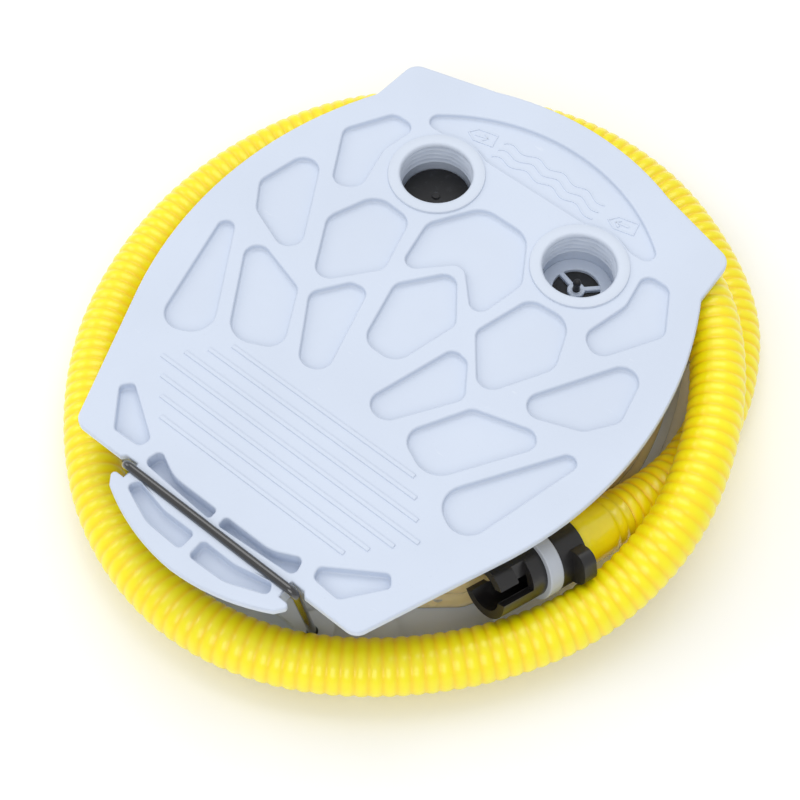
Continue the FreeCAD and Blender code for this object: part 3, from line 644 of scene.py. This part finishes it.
def rib_tree():
    """Geometry nodes: a ribbed tube along a line of edges."""
    tree = bpy.data.node_groups.new("ribbed tube", "GeometryNodeTree")
    sockets = [("Line", "NodeSocketGeometry", None), ("Crest Radius", "NodeSocketFloat", HOSE_R * MM),
               ("Rib Pitch", "NodeSocketFloat", RIB_PITCH * MM),
               ("Rib Depth", "NodeSocketFloat", RIB_DEEP * MM),
               ("Steps per Rib", "NodeSocketFloat", 9.0), ("Sides", "NodeSocketInt", 30),
               ("Vinyl", "NodeSocketMaterial", None)]
    for name, kind, value in sockets:
        socket = tree.interface.new_socket(name, in_out="INPUT", socket_type=kind)
        if value is not None:
            socket.default_value = value
    tree.interface.new_socket("Tube", in_out="OUTPUT", socket_type="NodeSocketGeometry")
    g = Graph(tree)
    start = tree.nodes.new("NodeGroupInput")
    given = {s.name: Value(g, s) for s in start.outputs if s.name}
    line = g.add("GeometryNodeMeshToCurve", {}, {"Mesh": given["Line"]})
    step = given["Rib Pitch"] / given["Steps per Rib"]
    line = g.add("GeometryNodeResampleCurve", {"mode": "LENGTH"}, {"Curve": line, "Length": step})
    gone = g.add("GeometryNodeSplineParameter", {}, {}, "Length")
    wave = g.maths("ABSOLUTE", g.maths("SINE", gone / given["Rib Pitch"] * math.pi))
    groove = 1 - wave ** 0.62
    line = g.add("GeometryNodeStoreNamedAttribute", {"data_type": "FLOAT", "domain": "POINT"},
                 {"Geometry": line, "Name": "groove", "Value": groove})
    radius = given["Crest Radius"] - groove * given["Rib Depth"]
    profile = g.add("GeometryNodeCurvePrimitiveCircle", {}, {"Resolution": given["Sides"], "Radius": 1.0})
    inputs = {"Curve": line, "Profile Curve": profile, "Scale": radius, "Fill Caps": False}
    tube = g.add("GeometryNodeCurveToMesh", {}, inputs)
    tube = g.add("GeometryNodeRealizeInstances", {}, {"Geometry": tube})
    tube = g.add("GeometryNodeSetMaterial", {}, {"Geometry": tube, "Material": given["Vinyl"]})
    g.add("NodeGroupOutput", {}, {"Tube": tube})
    return tree


def hose_end(line, end):
    """Where the hose ends and the way it points there: end 0 is the nozzle's, -1 the plug's."""
    near = 1 if end == 0 else -2
    return line[end], (line[end] - line[near]).normalized()


def placed(piece, at, along):
    turn = Vector((0, 0, 1)).rotation_difference(along).to_matrix().to_4x4()
    piece.data.transform(Matrix.Translation(at) @ turn)
    return piece


def cuff(name, at, along):
    """Smooth end sleeve with a rolled rim and two shallow bands."""
    outer = []
    for i in range(41):
        z = CUFF_L * i / 40
        band = sum(math.exp(-(((z - middle) / BAND_WIDTH) ** 2)) for middle in CUFF_BANDS)
        outer.append((CUFF_R - 0.5 - 0.6 * band + 0.5 * smooth(z, 24, 29), z))
    outer[0] = (CUFF_R - 1.4, 0)
    outer[-1] = (CUFF_R - 0.7, CUFF_L)
    profile = outer + [(HOSE_BORE_R + 0.02, CUFF_L), (HOSE_BORE_R + 0.02, 0)]
    return placed(turned(name, profile, CUFF, sides=72), at, along)


def hose_and_ends():
    line = route_line()
    mesh = bpy.data.meshes.new("hose_tube")
    mesh.from_pydata(line, [(i, i + 1) for i in range(len(line) - 1)], [])
    hose = bpy.data.objects.new("hose_tube", mesh)
    bpy.context.scene.collection.objects.link(hose)
    ribs = hose.modifiers.new("ribs", "NODES")
    ribs.node_group = rib_tree()
    names = {s.name: s.identifier for s in ribs.node_group.interface.items_tree if s.in_out == "INPUT"}
    ribs[names["Vinyl"]] = HOSE
    settle(hose)
    face_outward(hose.data)
    finished(hose, HOSE, 80)
    for end, side in ((0, "nozzle"), (-1, "plug")):
        sleeve = cuff(f"{side}_sleeve", *(hose_end(line, end)))
        body = from_frame(f"{side}_body", f"{side}_connector", BLACK, 0.45)
        ring = from_frame(f"{side}_washer", f"{side}_ring", WASHER if side == "nozzle" else RUBBER, 0.5)
        for piece, node, slot in (
            (sleeve, f"{side}_cuff", "cuff"),
            (body, f"{side}_body", "black_plastic"),
            (ring, f"{side}_washer", "washer" if side == "nozzle" else "rubber"),
        ):
            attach(piece, "base")
            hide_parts(node)
    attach(hose, "base")
    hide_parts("hose")


def inner_fittings():
    """Finishes for the frame's own pieces that stay as they are."""
    finishes = {
        "pedal_clamp_frame": PLATE, "base_clamp_frame": PLATE,
        "pedal_frame_screws": ZINC, "base_frame_screws": ZINC,
        "outlet_gasket": RUBBER, "inlet_gasket": RUBBER,
        "outlet_ring_nut": SOCKET, "inlet_ring_nut": SOCKET,
    }
    for node, material in finishes.items():
        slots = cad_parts[node].data.materials
        slots.clear()
        slots.append(material)


# ---- studio -------------------------------------------------------------------------
def studio():
    floor = bpy.data.meshes.new("floor")
    work = bmesh.new()
    bmesh.ops.create_grid(work, x_segments=1, y_segments=1, size=6)
    work.to_mesh(floor)
    work.free()
    stage = bpy.data.objects.new("studio_floor", floor)
    bpy.context.scene.collection.objects.link(stage)
    paper = Finish("studio paper", {"Roughness": 0.9, "Specular IOR Level": 0.1})
    paper.feed(Base_Color=paper.mix(paper.noise(3), shade(0.96, 0.96, 0.955), shade(0.98, 0.98, 0.98)))
    floor.materials.append(paper.material)
    lamps = [("sky panel", (-0.5, 0.9, 2.2), 1.9, 20), ("front panel", (0.9, -1.7, 1.6), 1.5, 16),
             ("left panel", (-1.9, -0.5, 1.3), 1.2, 8)]
    for name, place, size, power in lamps:
        lamp = bpy.data.lights.new(name, "AREA")
        lamp.size, lamp.energy = size, power
        holder = bpy.data.objects.new(name, lamp)
        holder.location = place
        holder.rotation_euler = (Vector((0, 0, 0.04)) - Vector(place)).to_track_quat("-Z", "Y").to_euler()
        bpy.context.scene.collection.objects.link(holder)
    world = bpy.data.worlds.new("white room")
    world.use_nodes = True
    world.node_tree.nodes["Background"].inputs["Color"].default_value = (0.97, 0.98, 1.0, 1)
    world.node_tree.nodes["Background"].inputs["Strength"].default_value = 0.66
    bpy.context.scene.world = world
    bpy.context.scene.view_settings.view_transform = "Standard"


LENS, SENSOR = 79.73, 36
CAMERA_AT, CAMERA_TO = (276.9, -336.7, 740.0), (23.55, -26.6, 64.0)


def camera():
    view = bpy.data.cameras.new("view")
    view.lens, view.sensor_width = LENS, SENSOR
    holder = bpy.data.objects.new("view", view)
    place, target = Vector(CAMERA_AT) * MM, Vector(CAMERA_TO) * MM
    holder.location = place
    holder.rotation_euler = (target - place).to_track_quat("-Z", "Y").to_euler()
    bpy.context.scene.collection.objects.link(holder)
    bpy.context.scene.camera = holder


camera()
hose_and_ends()
plates()
flow_signs()
hinge_wire()
bellows()
return_spring()
ports()
inner_fittings()
studio()
